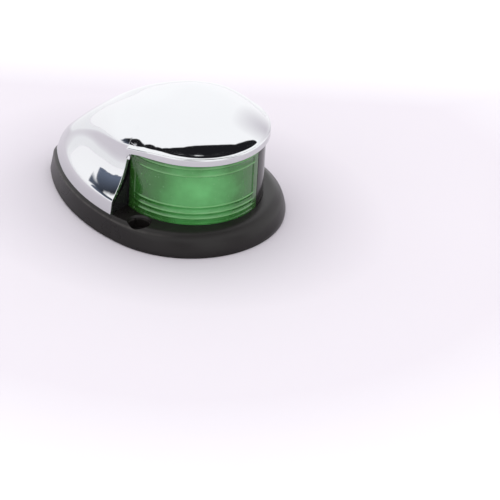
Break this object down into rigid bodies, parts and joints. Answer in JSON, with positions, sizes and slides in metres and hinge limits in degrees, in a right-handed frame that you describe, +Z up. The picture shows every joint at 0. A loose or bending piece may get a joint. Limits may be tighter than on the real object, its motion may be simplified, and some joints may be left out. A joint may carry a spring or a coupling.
{
  "type": "navigation light",
  "caption": "Low deck-mounted navigation side light: egg-shaped base, plated teardrop cover with a brow, and a curved green lens over a bayonet lamp.",
  "frame": {"origin": "on the deck face, midway between the two mounting holes", "axes": "+X to the bow, +Y to port, +Z up from the deck; the lens faces forward and to starboard (-Y)"},
  "size_m": [0.112, 0.0882, 0.0536],
  "materials": {
    "black_polymer": "satin moulded black polymer",
    "gloss_black": "polished black moulding",
    "chrome": "bright plated",
    "green_lens": "transparent coloured polycarbonate",
    "gasket": "matt elastomer",
    "stainless": "satin",
    "brass": "satin",
    "clear_glass": "clear",
    "phenolic": "moulded phenolic",
    "vitrite": "black glass insulator",
    "tungsten": "drawn wire",
    "solder": "solder"
  },
  "bodies": {
    "housing": {"base": "black_polymer", "deck_gasket": "gasket", "drum_gasket": "gasket", "cover_gasket": "gasket", "wire_grommet": "gasket", "lens": "green_lens", "blank_panel": "gloss_black", "light_screen": "black_polymer", "cover_screw_washers": "gasket", "cover_screws": "stainless", "socket_shell": "brass", "socket_bracket": "stainless", "bracket_screws": "stainless", "contact_insulator": "phenolic", "contact_springs": "stainless"},
    "cover": {"cover": "chrome", "lens_top_gasket": "gasket"},
    "bulb": {"bulb_cap": "brass", "bulb_pins": "brass", "bulb_insulator": "vitrite", "bulb_contacts": "solder", "bulb_glass": "clear_glass", "bulb_stem": "clear_glass", "filament_supports": "tungsten", "bulb_filament": "tungsten"},
    "plungers": {"contact_plungers": "brass", "plunger_clips": "stainless"}
  },
  "joints": [
    {"name": "cover_lift", "type": "slide", "parent": "housing", "child": "cover", "axis": [0, 0, 1], "range_m": [0, 0.045]},
    {"name": "bulb_press", "type": "slide", "parent": "housing", "child": "bulb", "axis": [-1, 0, 0], "range_m": [0, 0.002], "stiffness_N_per_m": 1500, "springref_m": -0.003},
    {"name": "plunger_press", "type": "slide", "parent": "housing", "child": "plungers", "axis": [-1, 0, 0], "range_m": [0, 0.002], "deforming": ["contact_springs"]}
  ],
  "couplings": [
    {"joint": "plunger_press", "follows": "bulb_press", "ratio": 1}
  ]
}
